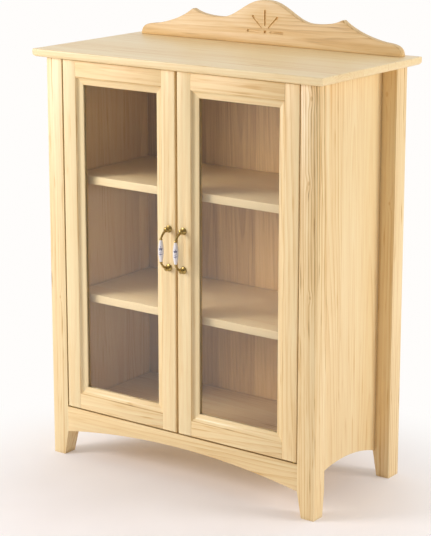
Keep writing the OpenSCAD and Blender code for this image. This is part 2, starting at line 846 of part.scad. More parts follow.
post(false, true);  // left_front_post
post(true, true);  // right_front_post
post(false, false);  // left_rear_post
post(true, false);  // right_rear_post
side_panel(false);  // left_side_panel
side_panel(true);  // right_side_panel
front_apron();
front_top_rail();
rear_top_rail();
rear_bottom_rail();
bottom_board();
cleat(false);  // left_cleat
cleat(true);  // right_cleat
top_board();
crest_board();
back_board(0);  // back_board_1
back_board(1);  // back_board_2
back_board(2);  // back_board_3
back_board(3);  // back_board_4
back_board(4);  // back_board_5
back_board(5);  // back_board_6
shelf(upper_shelf_z);  // upper_shelf
shelf(lower_shelf_z);  // lower_shelf
shelf_pins();
frame_dowels();
crest_dowels();
top_screws();
cleat_screws();
pivot_bushes();
catch_sleeves();
catch_magnets();
hinge_stile(false);  // left_hinge_stile
meeting_stile(false);  // left_meeting_stile
door_rail(false, true);  // left_door_top_rail
door_rail(false, false);  // left_door_bottom_rail
glass(false);  // left_glass
glazing_beads(false);  // left_glazing_beads
pivot_pins(false);  // left_pivot_pins
handle_arms(false);  // left_handle_arms
handle_grip(false);  // left_handle_grip
handle_screws(false);  // left_handle_screws
strike_plate(false);  // left_strike_plate
hinge_stile(true);  // right_hinge_stile
meeting_stile(true);  // right_meeting_stile
door_rail(true, true);  // right_door_top_rail
door_rail(true, false);  // right_door_bottom_rail
glass(true);  // right_glass
glazing_beads(true);  // right_glazing_beads
pivot_pins(true);  // right_pivot_pins
handle_arms(true);  // right_handle_arms
handle_grip(true);  // right_handle_grip
handle_screws(true);  // right_handle_screws
strike_plate(true);  // right_strike_plate
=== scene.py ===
import json
import math
import random

import bmesh
import bpy
from mathutils import Matrix, Vector


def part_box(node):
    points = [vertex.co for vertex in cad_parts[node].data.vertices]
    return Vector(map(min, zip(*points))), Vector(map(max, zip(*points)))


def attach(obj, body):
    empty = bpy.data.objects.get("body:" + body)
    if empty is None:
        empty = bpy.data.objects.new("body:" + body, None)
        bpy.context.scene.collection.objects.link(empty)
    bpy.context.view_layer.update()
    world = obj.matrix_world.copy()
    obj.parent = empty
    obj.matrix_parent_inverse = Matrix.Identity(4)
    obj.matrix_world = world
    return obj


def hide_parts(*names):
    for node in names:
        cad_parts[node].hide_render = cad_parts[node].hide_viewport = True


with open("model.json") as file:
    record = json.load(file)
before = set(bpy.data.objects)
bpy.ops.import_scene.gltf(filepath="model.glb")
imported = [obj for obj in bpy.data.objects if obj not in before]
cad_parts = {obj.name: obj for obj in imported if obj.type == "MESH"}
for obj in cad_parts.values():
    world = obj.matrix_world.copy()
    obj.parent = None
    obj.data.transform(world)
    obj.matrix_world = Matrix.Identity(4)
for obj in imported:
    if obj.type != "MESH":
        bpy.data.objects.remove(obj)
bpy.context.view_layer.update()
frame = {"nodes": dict(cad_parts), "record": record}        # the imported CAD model, in metres: the doors face -Y and the floor is at Z = 0
nodes = frame["nodes"]
subparts = frame["record"]["subparts"]
mm = 0.001
print("frame loaded:", len(nodes), "nodes")


def fromHex(code):       # sRGB hex to the linear colour that a socket takes
    parts = [int(code[i:i + 2], 16) / 255 for i in (1, 3, 5)]
    return [c / 12.92 if c <= 0.04045 else ((c + 0.055) / 1.055) ** 2.4 for c in parts] + [1]


# Adds a shader node. A socket takes a plain value, another socket, or a node, whose first output is used.
def addNode(tree, kind, sockets=None, stops=None, **settings):
    node = tree.nodes.new("ShaderNode" + kind)
    for name, value in settings.items():
        setattr(node, name, value)
    for name, value in (sockets or {}).items():
        if isinstance(value, bpy.types.Node):
            value = value.outputs[0]
        if isinstance(value, bpy.types.NodeSocket):
            tree.links.new(value, node.inputs[name])
        else:
            node.inputs[name].default_value = value
    if stops:            # (place, value or colour) pairs of a colour ramp
        band = node.color_ramp.elements
        while len(band) < len(stops):
            band.new(1)
        for element, (place, colour) in zip(band, stops):
            element.position = place
            element.color = fromHex(colour) if isinstance(colour, str) else (colour, colour, colour, 1)
    return node


def newTree(name):
    material = bpy.data.materials.new(name)
    material.use_nodes = True
    material.node_tree.nodes.clear()
    return material, material.node_tree


def dress(name, material):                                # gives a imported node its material
    mesh = nodes[name].data
    mesh.materials.clear()
    mesh.materials.append(material)


def entryFor(table, name):                                # the first entry whose key is part of a node's name
    return next((value for key, value in table.items() if key in name), None)


# Scots pine, planed, sanded and sprayed with a clear satin lacquer. The eye sees pale straw
# earlywood, thin honey-coloured latewood lines along the board, and a soft sheen at low angles.
pine = {
    "tones": [(0.0, "#f8e2b2"), (0.3, "#f2d5a0"), (0.62, "#e0b97b"), (1.0, "#a07a42")],
    "palest": 0.02,      # place in the tones of wood with no marks
    "waves": (2.2, 11, 11),                               # bends per metre along and across the board
    "wander": 12,        # mm that a ring strays at such a bend
    "ring": 6,           # mm between growth rings, a little over the usual 4 mm, so that they show
    "latewood": [(0.0, 0.0), (0.35, 0.12), (0.8, 0.75), (0.92, 1.0), (1.0, 0.0)],   # from ring to ring
    "ringDepth": 0.34,   # how dark the latewood is drawn
    "patchy": (0.3, 1.5),                                 # share of that depth where rings are faint, strong
    "patches": 0.9,      # of faint and strong rings for each bend
    "patchRange": (0.35, 0.7),                            # part of their noise's range that is drawn
    # Marks along the grain: mm across one, how many per metre along the board, detail and roughness of the
    # noise, the part of its range that is drawn, and how dark. Fibres are really 0.3 mm across, and are drawn
    # coarser so that they show. Flames are the brown spindles where the saw just touched a ring.
    "streak": {"width": 9, "along": 2.5, "detail": 3, "rough": 0.55, "range": (0.32, 0.72), "depth": 0.22},
    "fibre": {"width": 2, "along": 12, "detail": 2, "rough": 0.6, "range": (0.32, 0.72), "depth": 0.13},
    "flame": {"width": 9, "along": 9, "detail": 1, "rough": 0.4, "range": (0.64, 0.76), "depth": 0.42},
    "flameFloor": 0.4,   # share of a flame's depth that shows between the latewood lines
    "paler": 3,          # depth of a streak or fibre over how much paler the wood is between them
    "roughness": (0.37, 0.56),                            # in pale wood and in dark wood
    "coat": 0.17,
    "coatRoughness": 0.28,
    "ior": 1.5,
    "relief": 0.15,      # mm that the latewood stands proud after sanding
    "cornerShade": 13,          # mm within which corners and gaps are drawn darker, as painted shade
    "cornerShadeOpen": (0.15, 0.6),                              # how open a place is where its painted shade is darkest, and where it has none
    "cornerShadeShare": 0.6,    # how much of this tone the darkest place gets
    "cornerShadeTone": "#9a7f42",
}
glued = {                # panels that are glued up from strips
    "seam": 0.8,         # mm each side of a glue line, really 0.1 mm, drawn wider so that it shows
    "seamDepth": 0.4,
    "shade": 0.1,        # how far the strips differ in tone
    "spread": (4, 0.07), # metres along and across the grain within which the strips were cut
    "first": 20,         # keeps the strips' numbers above zero
}
knotLook = {             # sizes are shares of the knot's own size
    "squash": 0.55,      # its width over its length along the grain
    "swirl": (0.4, 3),   # where the bent rings are fully turned, and where they run straight again
    "turn": 3,           # radians by which it turns the rings
    "heart": (0.3, 0.62),                                 # where the dark heart starts to fade, and ends
    "depth": 0.24,
}
# A painted shade line, drawn darker where the moulding steps down round each glass, and in the rails'
# shoulders.
moulding = {
    "width": 18.5,       # mm from the glass opening to the step
    "core": 0.3,         # mm from the middle of the step to where the darker line starts to fade
    "reach": 1.8,        # and to where it ends
    "depth": 0.5,
    "uneven": (0.45, 1.2),                                # share of that depth where it is faint, and strong
    "unevenRange": (0.35, 0.62),                          # part of the noise's range between these
    "behind": 3,         # mm behind the door's face that the line reaches
    # The axis across each piece and the end of its box (0 low, 1 high) that the glass is at.
    "glassAt": {"left_hinge_stile": ("x", 1), "left_meeting_stile": ("x", 0), "right_hinge_stile": ("x", 0),
                "right_meeting_stile": ("x", 1), "door_top_rail": ("z", 0), "door_bottom_rail": ("z", 1)},
}


# Each strip of a glued-up panel gets its own place in the tree and its own shade, with a thin dark seam
# between strips. Gives the new place, and the shade and seam that darken the wood.
def cutStrips(tree, place, middle, grain, strips, draw):
    axis, width = "xyz".index(strips[0]), strips[1] * mm
    parts = addNode(tree, "SeparateXYZ", {0: place})
    start = draw.random() * 0.5 + glued["first"]
    count = addNode(tree, "Math", {0: parts.outputs[axis], 1: 1 / width, 2: start}, operation="MULTIPLY_ADD")
    number = addNode(tree, "Math", {0: count}, operation="FLOOR")
    across = addNode(tree, "Math", {0: count}, operation="FRACT")
    chance = addNode(tree, "TexWhiteNoise", {"W": number}, noise_dimensions="1D")
    spread = [glued["spread"][1]] * 3
    spread["xyz".index(grain)] = glued["spread"][0]
    shift = addNode(tree, "VectorMath", {0: chance.outputs["Color"], 1: spread, 2: [-s / 2 for s in spread]},
                    operation="MULTIPLY_ADD")
    sockets = {i: parts.outputs[i] for i in range(3)}
    sockets[axis] = addNode(tree, "Math", {0: across, 1: width, 2: middle[axis] - width / 2},
                            operation="MULTIPLY_ADD")
    strip = addNode(tree, "CombineXYZ", sockets)
    moved = addNode(tree, "VectorMath", {0: strip, 1: shift}, operation="ADD")
    shade = addNode(tree, "Math", {0: chance.outputs["Value"], 1: glued["shade"], 2: -glued["shade"] / 2},
                    operation="MULTIPLY_ADD")
    edge = addNode(tree, "Math", {0: across, 1: 0.5}, operation="SUBTRACT")
    edge = addNode(tree, "Math", {0: edge}, operation="ABSOLUTE")
    half = 0.5 - glued["seam"] * mm / width
    seam = addNode(tree, "MapRange", {0: edge, 1: half, 2: 0.5, 3: 0, 4: glued["seamDepth"]})
    return moved.outputs[0], [shade, seam]


# Bends the rings round each knot (axis it is seen along, place, size) and darkens its heart. Gives the
# phase of the rings and the hearts.
def growKnots(tree, place, grain, knots, phase):
    hearts = 0.0
    for axis, at, size in knots:
        gap = addNode(tree, "VectorMath", {0: place, 1: [c * mm for c in at]}, operation="SUBTRACT")
        squash = [1.0] * 3
        squash["xyz".index(axis)] = 0.0
        squash["xyz".index(grain)] = knotLook["squash"]
        near = addNode(tree, "VectorMath", {0: gap, 1: squash}, operation="MULTIPLY")
        far = addNode(tree, "VectorMath", {0: near}, operation="LENGTH").outputs["Value"]
        inner, outer = (size * mm * share for share in knotLook["swirl"])
        swirl = addNode(tree, "MapRange", {0: far, 1: inner, 2: outer, 3: knotLook["turn"], 4: 0},
                        interpolation_type="SMOOTHERSTEP")
        phase = addNode(tree, "Math", {0: swirl, 1: phase}, operation="ADD")
        inner, outer = (size * mm * share for share in knotLook["heart"])
        heart = addNode(tree, "MapRange", {0: far, 1: inner, 2: outer, 3: knotLook["depth"], 4: 0},
                        interpolation_type="SMOOTHSTEP")
        hearts = addNode(tree, "Math", {0: heart, 1: hearts}, operation="MAXIMUM")
    return phase, hearts


def paintedStepShade(tree, quirk, flecks):                        # painted shade: a darker line in the moulding's step
    axis, at, face = quirk
    parts = addNode(tree, "SeparateXYZ", {0: addNode(tree, "TexCoord").outputs["Object"]})
    off = addNode(tree, "Math", {0: parts.outputs["xyz".index(axis)], 1: at}, operation="SUBTRACT")
    off = addNode(tree, "Math", {0: off}, operation="ABSOLUTE")
    line = addNode(tree, "MapRange", {0: off, 1: moulding["core"] * mm, 2: moulding["reach"] * mm,
                                      3: moulding["depth"], 4: 0})
    low, high = moulding["unevenRange"]
    uneven = addNode(tree, "MapRange", {0: flecks, 1: low, 2: high, 3: moulding["uneven"][0],
                                        4: moulding["uneven"][1]})
    line = addNode(tree, "Math", {0: line, 1: uneven}, operation="MULTIPLY")
    ahead = addNode(tree, "Math", {0: parts.outputs[1], 1: face + moulding["behind"] * mm},
                    operation="LESS_THAN")
    return addNode(tree, "Math", {0: line, 1: ahead}, operation="MULTIPLY")


def pineBoard(name, middle, grain, pith, lean, seed, strips=None, figure=1.0, streaks=1.0, dark=0.0,
              dust=1.0, quirk=None, knots=()):
    material, tree = newTree(name)
    draw = random.Random(seed)
    place = addNode(tree, "TexCoord").outputs["Object"]
    stripTones = []
    if strips:
        place, stripTones = cutStrips(tree, place, middle, grain, strips, draw)

    # The tree's axis is turned onto X, and the rings are drawn round it.
    turn = {"x": Matrix.Identity(3), "y": Matrix.Rotation(-math.pi / 2, 3, "Z"),
            "z": Matrix.Rotation(math.pi / 2, 3, "Y")}[grain]
    turn = Matrix.Rotation(math.radians(lean), 3, "Z") @ Matrix.Rotation(math.radians(lean), 3, "Y") @ turn
    centre = Vector(middle) + Vector(pith) * mm
    along = addNode(tree, "Mapping", {"Vector": place, "Location": -(turn @ centre),
                                      "Rotation": turn.to_euler("XYZ")})
    bend = addNode(tree, "VectorMath", {0: along, 1: pine["waves"]}, operation="MULTIPLY")
    bent = addNode(tree, "TexNoise", {"Vector": bend, "Scale": 1, "Detail": 3.5, "W": draw.random() * 50},
                   noise_dimensions="4D")
    stray = addNode(tree, "VectorMath", {0: bent.outputs["Color"], 1: [pine["wander"] * mm] * 3, 2: along},
                    operation="MULTIPLY_ADD")
    phase, hearts = growKnots(tree, place, grain, knots, draw.random() * 6)
    scale = 0.1 * math.pi / (pine["ring"] * mm)           # at scale 1 the wave repeats every pi / 10
    rings = addNode(tree, "TexWave", {"Vector": stray, "Scale": scale, "Distortion": 0,
                                      "Phase Offset": phase},
                    wave_type="RINGS", rings_direction="X", wave_profile="SAW")
    late = addNode(tree, "ValToRGB", {0: rings.outputs["Fac"]}, stops=pine["latewood"])
    patch = addNode(tree, "TexNoise", {"Vector": bend, "Scale": pine["patches"], "Detail": 1})
    low, high = pine["patchRange"]
    patchy = addNode(tree, "MapRange", {0: patch, 1: low, 2: high, 3: pine["patchy"][0] * figure,
                                        4: pine["patchy"][1] * figure})
    ringTone = addNode(tree, "Math", {0: late, 1: patchy}, operation="MULTIPLY")

    marks = {}
    for kind in ("streak", "fibre", "flame"):
        mark = pine[kind]
        thin = 1 / (mark["width"] * mm)
        drawnOut = addNode(tree, "VectorMath", {0: stray, 1: (mark["along"], thin, thin)},
                           operation="MULTIPLY")
        marks[kind] = addNode(tree, "TexNoise", {"Vector": drawnOut, "Scale": 1, "Detail": mark["detail"],
                                                 "Roughness": mark["rough"]})
    low, high = pine["flame"]["range"]
    flame = addNode(tree, "MapRange", {0: marks["flame"], 1: low, 2: high, 3: 0,
                                       4: pine["flame"]["depth"] * figure})
    lines = addNode(tree, "Math", {0: late, 1: 1 - pine["flameFloor"], 2: pine["flameFloor"]},
                    operation="MULTIPLY_ADD")
    tones = [addNode(tree, "Math", {0: flame, 1: lines}, operation="MULTIPLY")]
    for kind in ("streak", "fibre"):
        share = pine[kind]["depth"] * streaks
        low, high = pine[kind]["range"]
        tones.append(addNode(tree, "MapRange", {0: marks[kind], 1: low, 2: high, 3: -share / pine["paler"],
                                                4: share}))
    tones += stripTones
    if knots:
        tones.append(hearts)
    # Painted shade: a darker line along the moulding's step round the glass.
    if quirk:
        tones.append(paintedStepShade(tree, quirk, marks["flame"]))

    total = addNode(tree, "Math", {0: ringTone, 1: pine["ringDepth"], 2: pine["palest"] + dark},
                    operation="MULTIPLY_ADD")
    for tone in tones:
        total = addNode(tree, "Math", {0: total, 1: tone}, operation="ADD")
    clean = addNode(tree, "ValToRGB", {0: total}, stops=pine["tones"])
    # Painted shade: where the AO finds a place shut in, in corners and gaps, the colour is drawn towards a
    # darker tone.
    shut, free = pine["cornerShadeOpen"]
    cornerShade = addNode(tree, "AmbientOcclusion", {"Distance": pine["cornerShade"] * mm}, samples=6).outputs["AO"]
    cornerShade = addNode(tree, "MapRange", {0: cornerShade, 1: shut, 2: free, 3: pine["cornerShadeShare"] * dust, 4: 0})
    colour = addNode(tree, "Mix", {0: cornerShade, 6: clean, 7: fromHex(pine["cornerShadeTone"])}, data_type="RGBA")
    smooth, rough = pine["roughness"]
    gloss = addNode(tree, "MapRange", {0: total, 1: 0, 2: 1, 3: smooth, 4: rough})
    relief = addNode(tree, "Bump", {"Height": total, "Strength": 0.5, "Distance": pine["relief"] * mm})
    shader = addNode(tree, "BsdfPrincipled", {
        "Base Color": colour.outputs[2], "Roughness": gloss, "Normal": relief, "IOR": pine["ior"],
        "Coat Weight": pine["coat"], "Coat Roughness": pine["coatRoughness"]})
    addNode(tree, "OutputMaterial", {"Surface": shader})
    return material


# How each board was cut. grain is the axis along it, pith the place of the tree's centre from the board's
# middle in mm, lean how many degrees the cut was off the tree's axis, and strips the axis and width in mm of
# a glued-up panel's strips. figure is how strongly the rings show, and streaks the rest of the grain, dark
# how brown the board is drawn, and dust how much painted shade its corners and gaps get. The first key in a
# node's name holds.
frontPost = {"grain": "z", "pith": (60, 32, 0), "lean": 0.5}
hingeStile = {"grain": "z", "pith": (30, 70, 0), "lean": 0.6}
meetingStile = {"grain": "z", "pith": (-40, 60, 0), "lean": -0.5, "figure": 0.6, "dust": 0.5}
shelfBoard = {"grain": "x", "pith": (0, 8, -45), "lean": 0.8, "strips": ("y", 98)}
backBoard = {"grain": "z", "pith": (8, 42, 0), "lean": 1.1, "figure": 0.25, "streaks": 0.5}
boards = {
    "right_front_post": dict(frontPost, figure=1.4, streaks=1.5, dark=0.06),
    "left_front_post": dict(frontPost, figure=1.1, streaks=1.2),
    "rear_post": {"grain": "z", "pith": (-70, 80, 0), "lean": -0.4, "figure": 1.2, "dark": 0.08},
    "side_panel": {"grain": "z", "pith": (-45, 6, 0), "lean": 1.0, "strips": ("y", 92), "figure": 0.75,
                   "streaks": 0.8, "dark": 0.07},
    "front_apron": {"grain": "x", "pith": (0, 45, -15), "lean": 0.8, "figure": 0.6, "dark": 0.13,
                    "dust": 0.4},
    "top_board": {"grain": "x", "pith": (0, 10, -40), "lean": 0.9, "strips": ("y", 108), "figure": 0.65,
                  "streaks": 0.8, "dark": 0.03, "dust": 0.55},
    "crest_board": {"grain": "x", "pith": (0, 40, -30), "lean": 0.7, "figure": 0.55, "streaks": 0.7,
                    "dark": 0.41, "dust": 0.1},
    "left_hinge_stile": dict(hingeStile, figure=0.6, dark=-0.08),
    "right_hinge_stile": dict(hingeStile, figure=0.7, dark=0.1),
    "left_meeting_stile": dict(meetingStile, dark=0.05),
    "right_meeting_stile": dict(meetingStile, dark=-0.03),
    "door_top_rail": {"grain": "x", "pith": (0, 60, 40), "lean": 0.5, "figure": 0.6, "dark": 0.13},
    "door_bottom_rail": {"grain": "x", "pith": (0, 50, -30), "lean": 1.2, "figure": 0.7, "dark": 0.03,
                         "dust": 0.5},
    "glazing_beads": {"grain": "z", "pith": (200, 120, 0), "lean": 0},
    "shelf": dict(shelfBoard, figure=0.5, dark=-0.16),
    "bottom_board": dict(shelfBoard, dark=0.05),
    "rail": {"grain": "x", "pith": (0, 70, 20), "lean": 0.5},
    "cleat": {"grain": "y", "pith": (40, 0, 40), "lean": 0.5},
    "back_board_3": dict(backBoard, dark=0.67),           # painted shade: the back's boards are drawn far darker, as the inside of the case is in shade, each by its own amount
    "back_board_4": dict(backBoard, dark=0.55),
    "back_board": dict(backBoard, dark=0.74),
}
knots = {                # the axis that each small sound knot is seen along, its place and its size, in mm
    "right_front_post": [("y", (381, -187, 999), 7), ("y", (376, -187, 806), 6), ("y", (384, -187, 540), 5)],
    "right_rear_post": [("y", (372, 153, 965), 8), ("y", (385, 153, 700), 6)],
    "left_front_post": [("y", (-372, -187, 420), 5)],
}
otherLog = (-0.8, 1.1, 1)                                 # the left pieces' pith over the right ones'

pineNodes = [part["node"] for part in subparts if part["material_slot"] == "pine"]
boardLooks = {}
for seed, name in enumerate(pineNodes, start=11):
    low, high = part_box(name)
    cut = dict(entryFor(boards, name))
    if name.startswith("left_"):
        cut["pith"] = [a * b for a, b in zip(cut["pith"], otherLog)]
    glassAt = entryFor(moulding["glassAt"], name)
    if glassAt:
        axis, end = glassAt
        width = moulding["width"] * mm
        edge = (low, high)[end]["xyz".index(axis)]
        cut["quirk"] = (axis, edge - width if end else edge + width, low.y)
    boardLooks[name] = pineBoard("pine_" + name, (low + high) / 2, seed=seed, knots=knots.get(name, ()),
                                 **cut)
    dress(name, boardLooks[name])
print("pine:", len(boardLooks), "boards")

easing = {
    "weld": 0.01,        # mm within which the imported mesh's split corners are joined
    "steps": 2,
    "sharp": 35,         # degrees, the least bend of an edge that is rounded
    "crease": 32,        # degrees, the least bend of an edge that is shaded as a crease
    "radius": {          # mm, as sanded, by a part of the node's name
        "post": 1.4, "side_panel": 0.8, "front_apron": 1.2, "top_board": 0, "stile": 0.4,
        "door_top_rail": 0.4, "door_bottom_rail": 0.4, "shelf": 1.2, "bottom_board": 0.8, "rail": 0.8,
        "cleat": 0.8, "glazing_beads": 0.4, "back_board": 0.6,
    },
}


# Geometry nodes that shade all faces smooth but keep the creases.
def smoothGroup():
    group = bpy.data.node_groups.new("smoothByAngle", "GeometryNodeTree")
    group.interface.new_socket("Geometry", in_out="INPUT", socket_type="NodeSocketGeometry")
    group.interface.new_socket("Geometry", in_out="OUTPUT", socket_type="NodeSocketGeometry")
    start = group.nodes.new("NodeGroupInput")
    end = group.nodes.new("NodeGroupOutput")
    faces = group.nodes.new("GeometryNodeSetShadeSmooth")
    edges = group.nodes.new("GeometryNodeSetShadeSmooth")
    edges.domain = "EDGE"
    angle = group.nodes.new("GeometryNodeInputMeshEdgeAngle")
    small = group.nodes.new("FunctionNodeCompare")
    small.operation = "LESS_THAN"
    small.inputs[1].default_value = math.radians(easing["crease"])
    group.links.new(angle.outputs["Unsigned Angle"], small.inputs[0])
    group.links.new(small.outputs[0], edges.inputs["Shade Smooth"])
    group.links.new(start.outputs[0], faces.inputs["Geometry"])
    group.links.new(faces.outputs[0], edges.inputs["Geometry"])
    group.links.new(edges.outputs[0], end.inputs[0])
    return group


smoothing = smoothGroup()


def easeEdges(name, radius):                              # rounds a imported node's sharp edges, radius in mm
    piece = nodes[name]
    weld = piece.modifiers.new("weld", "WELD")
    weld.merge_threshold = easing["weld"] * mm
    if radius:
        eased = piece.modifiers.new("eased", "BEVEL")
        eased.width = radius * mm
        eased.segments = easing["steps"]
        eased.limit_method = "ANGLE"
        eased.angle_limit = math.radians(easing["sharp"])
    smooth = piece.modifiers.new("smooth", "NODES")
    smooth.node_group = smoothing


for name in pineNodes:
    if name != "crest_board":                             # a finer piece takes its place
        easeEdges(name, entryFor(easing["radius"], name))
print("edges eased")


def putIn(name, data):                                    # puts a new object into the scene
    thing = bpy.data.objects.new(name, data)
    bpy.context.scene.collection.objects.link(thing)
    return thing


def meshFrom(shape, name):
    mesh = bpy.data.meshes.new(name)
    shape.to_mesh(mesh)
    shape.free()
    return mesh


def addPiece(name, mesh, body, replaced):
    piece = putIn(name, mesh)
    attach(piece, body)
    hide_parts(replaced)


# The crest board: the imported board's outline, with sanded edges, and its five rays cut by a round gouge.
crest = {
    "edge": 1.8,         # mm, radius of the sanded edges
    "edgeSteps": 3,
    "sharp": 50,         # degrees, the least bend of an edge that is rounded
    "crease": 35,        # degrees, the least bend of an edge that is shaded as a crease
    "least": 1.6,        # mm, shortest step kept along the outline
    "centre": 32,        # mm above the top board, where the rays meet
    "rays": 5,
    "apart": 45,         # degrees between rays
    "inner": 13,         # mm from the centre to a ray's start and to its tip
    "outer": 56,
    "gougeInner": 2.2,   # mm, radius of the gouge's cut at the start and at the tip
    "gougeOuter": 3.6,
    "tip": 0.02,         # square of the share of that radius that a cut's ends keep, so that they don't close
    "steps": 14,         # along a ray
    "sides": 16,         # round the gouge
    "hub": 4.0,          # mm, radius of the round cut at the centre
    "cutDarkness": 0.85,       # how dark brown the cuts are drawn
    "cutDarknessSeed": 3,
}


def outlineOfBack(node):                                  # the node's rearmost flat face, as a loop of points
    shape = bmesh.new()
    shape.from_mesh(nodes[node].data)
    bmesh.ops.remove_doubles(shape, verts=shape.verts, dist=easing["weld"] * mm)
    rear = max(v.co.y for v in shape.verts)
    flat = {f for f in shape.faces if all(abs(v.co.y - rear) < easing["weld"] * mm for v in f.verts)}
    rim = {}
    for face in flat:
        for corner in face.loops:
            if not any(f in flat for f in corner.edge.link_faces if f is not face):
                rim[corner.vert.index] = corner.link_loop_next.vert.index
    points = {v.index: v.co.copy() for v in shape.verts}
    shape.free()
    first = min(rim)     # the order of a set differs from run to run, so the loop has a fixed start
    loop, at = [points[first]], rim[first]
    while at != first:
        loop.append(points[at])
        at = rim[at]
    return loop


def gougeMesh(front, centre):                             # the cutter, whose faces leave the second material
    cutter = bmesh.new()
    length = crest["outer"] - crest["inner"]
    sides = crest["sides"]
    for ray in range(crest["rays"]):
        turn = Matrix.Rotation(-math.radians(crest["apart"] * ray), 4, "Y")
        rows = []
        for i in range(crest["steps"] + 1):
            share = i / crest["steps"]
            x = crest["inner"] + length * share
            full = crest["gougeInner"] + (crest["gougeOuter"] - crest["gougeInner"]) * share
            end = min(share, 1 - share) * length / full   # within 1 of either end, the cut rounds off
            radius = full * math.sqrt(max(1 - (1 - min(end, 1)) ** 2, crest["tip"]))
            rows.append([cutter.verts.new(turn @ Vector((x * mm, radius * math.sin(a) * mm,
                                                         radius * math.cos(a) * mm)))
                         for a in (math.tau * k / sides for k in range(sides))])
        for near, far in zip(rows, rows[1:]):
            for k in range(sides):
                cutter.faces.new([near[k], near[(k + 1) % sides], far[(k + 1) % sides], far[k]])
        cutter.faces.new(rows[0][::-1])
        cutter.faces.new(rows[-1])
    bmesh.ops.create_icosphere(cutter, subdivisions=3, radius=crest["hub"] * mm)
    bmesh.ops.recalc_face_normals(cutter, faces=cutter.faces)
    bmesh.ops.translate(cutter, verts=cutter.verts, vec=(0, front, centre))
    for face in cutter.faces:
        face.material_index = 1
    return meshFrom(cutter, "gouge")


def makeCrest():
    low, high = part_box("crest_board")
    kept = []
    for point in outlineOfBack("crest_board"):
        if not kept or (point - kept[-1]).length > crest["least"] * mm:
            kept.append(point)
    shape = bmesh.new()
    back = [shape.verts.new(p) for p in kept]
    ahead = [shape.verts.new((p.x, low.y, p.z)) for p in kept]
    shape.faces.new(back)
    shape.faces.new(ahead[::-1])
    for i in range(len(kept)):
        j = (i + 1) % len(kept)
        shape.faces.new([back[j], back[i], ahead[i], ahead[j]])
    bmesh.ops.recalc_face_normals(shape, faces=shape.faces)
    board = putIn("crestBlank", meshFrom(shape, "crestBlank"))
    gouge = putIn("gouge", gougeMesh(low.y, low.z + crest["centre"] * mm))
    finish = boardLooks["crest_board"]
    for thing in (board, gouge):
        for _ in range(2):                                # room for the board's finish and the darker cuts
            thing.data.materials.append(finish)
    rounded = board.modifiers.new("rounded", "BEVEL")
    rounded.width = crest["edge"] * mm
    rounded.segments = crest["edgeSteps"]
    rounded.limit_method = "ANGLE"
    rounded.angle_limit = math.radians(crest["sharp"])
    carved = board.modifiers.new("carved", "BOOLEAN")
    carved.object = gouge
    carved.operation = "DIFFERENCE"
    carved.solver = "EXACT"
    mesh = bpy.data.meshes.new_from_object(board.evaluated_get(bpy.context.evaluated_depsgraph_get()))
    for thing in (board, gouge):
        bpy.data.objects.remove(thing)
    mesh.name = "crestBoard"
    mesh.shade_smooth()
    mesh.set_sharp_from_angle(angle=math.radians(crest["crease"]))
    darkCuts = pineBoard("pine_darkCuts", (low + high) / 2, seed=crest["cutDarknessSeed"],
                         **dict(boards["crest_board"], dark=crest["cutDarkness"]))
    mesh.materials.clear()
    mesh.materials.append(finish)
    mesh.materials.append(darkCuts)
    addPiece("crestBoard", mesh, "case", "crest_board")


makeCrest()
print("crest board carved")

# Float glass, 4 mm, polished: clear, a little grey where it is seen through, and mirror-like at low angles.
paneLook = {
    "colour": "#eceae8",
    "lit": "#f6f4f2",    # colour of the light that passes through
    "ior": 1.52,
    "smears": 9,         # per metre
    "haze": 0.02,        # roughness in a smear
}


def floatGlass():
    material, tree = newTree("floatGlass")
    place = addNode(tree, "TexCoord").outputs["Object"]
    smear = addNode(tree, "TexNoise", {"Vector": place, "Scale": paneLook["smears"]})
    haze = addNode(tree, "MapRange", {0: smear, 1: 0.4, 2: 0.8, 3: 0.0, 4: paneLook["haze"]})
    clear = addNode(tree, "BsdfPrincipled", {
        "Base Color": fromHex(paneLook["colour"]), "Transmission Weight": 1, "IOR": paneLook["ior"],
        "Roughness": haze})
    through = addNode(tree, "BsdfTransparent", {0: fromHex(paneLook["lit"])})
    rays = addNode(tree, "LightPath")
    mixed = addNode(tree, "MixShader", {0: rays.outputs["Is Shadow Ray"], 1: clear, 2: through})
    addNode(tree, "OutputMaterial", {"Surface": mixed})
    return material


# Cast brass, tumbled and darkened with an antique patina: brown in the hollows, yellow on the highs.
brassLook = {
    "bright": "#b59a5c",
    "patina": "#3d301a",
    "roughness": (0.4, 0.14),                             # under the patina and where it is rubbed bright
    "clouds": 240,       # patches of patina per metre, so about 4 mm across
    "grains": 1600,      # marks of the 0.2 mm casting sand per metre, drawn 0.6 mm wide so that they show
    "relief": 0.05,      # mm
}


def antiqueBrass():
    material, tree = newTree("antiqueBrass")
    place = addNode(tree, "TexCoord").outputs["Object"]
    cloud = addNode(tree, "TexNoise", {"Vector": place, "Scale": brassLook["clouds"], "Detail": 4,
                                       "Roughness": 0.65})
    grain = addNode(tree, "TexNoise", {"Vector": place, "Scale": brassLook["grains"], "Detail": 2})
    colour = addNode(tree, "ValToRGB", {0: cloud},
                     stops=[(0.3, brassLook["patina"]), (0.52, brassLook["bright"])])
    gloss = addNode(tree, "MapRange", {0: cloud, 1: 0.3, 2: 0.7, 3: brassLook["roughness"][0],
                                       4: brassLook["roughness"][1]})
    relief = addNode(tree, "Bump", {"Height": grain, "Strength": 0.25, "Distance": brassLook["relief"] * mm})
    shader = addNode(tree, "BsdfPrincipled", {"Base Color": colour, "Metallic": 1, "Roughness": gloss,
                                              "Normal": relief})
    addNode(tree, "OutputMaterial", {"Surface": shader})
    return material


# Zinc-plated steel, tumbled in a barrel: pale blue-grey, a little uneven.
steelLook = {
    "light": "#c3c6c9",
    "dark": "#9a9ea3",
    "roughness": (0.28, 0.42),                            # where it is dark and where it is light
    "clouds": 500,       # patches per metre, so about 2 mm across
}


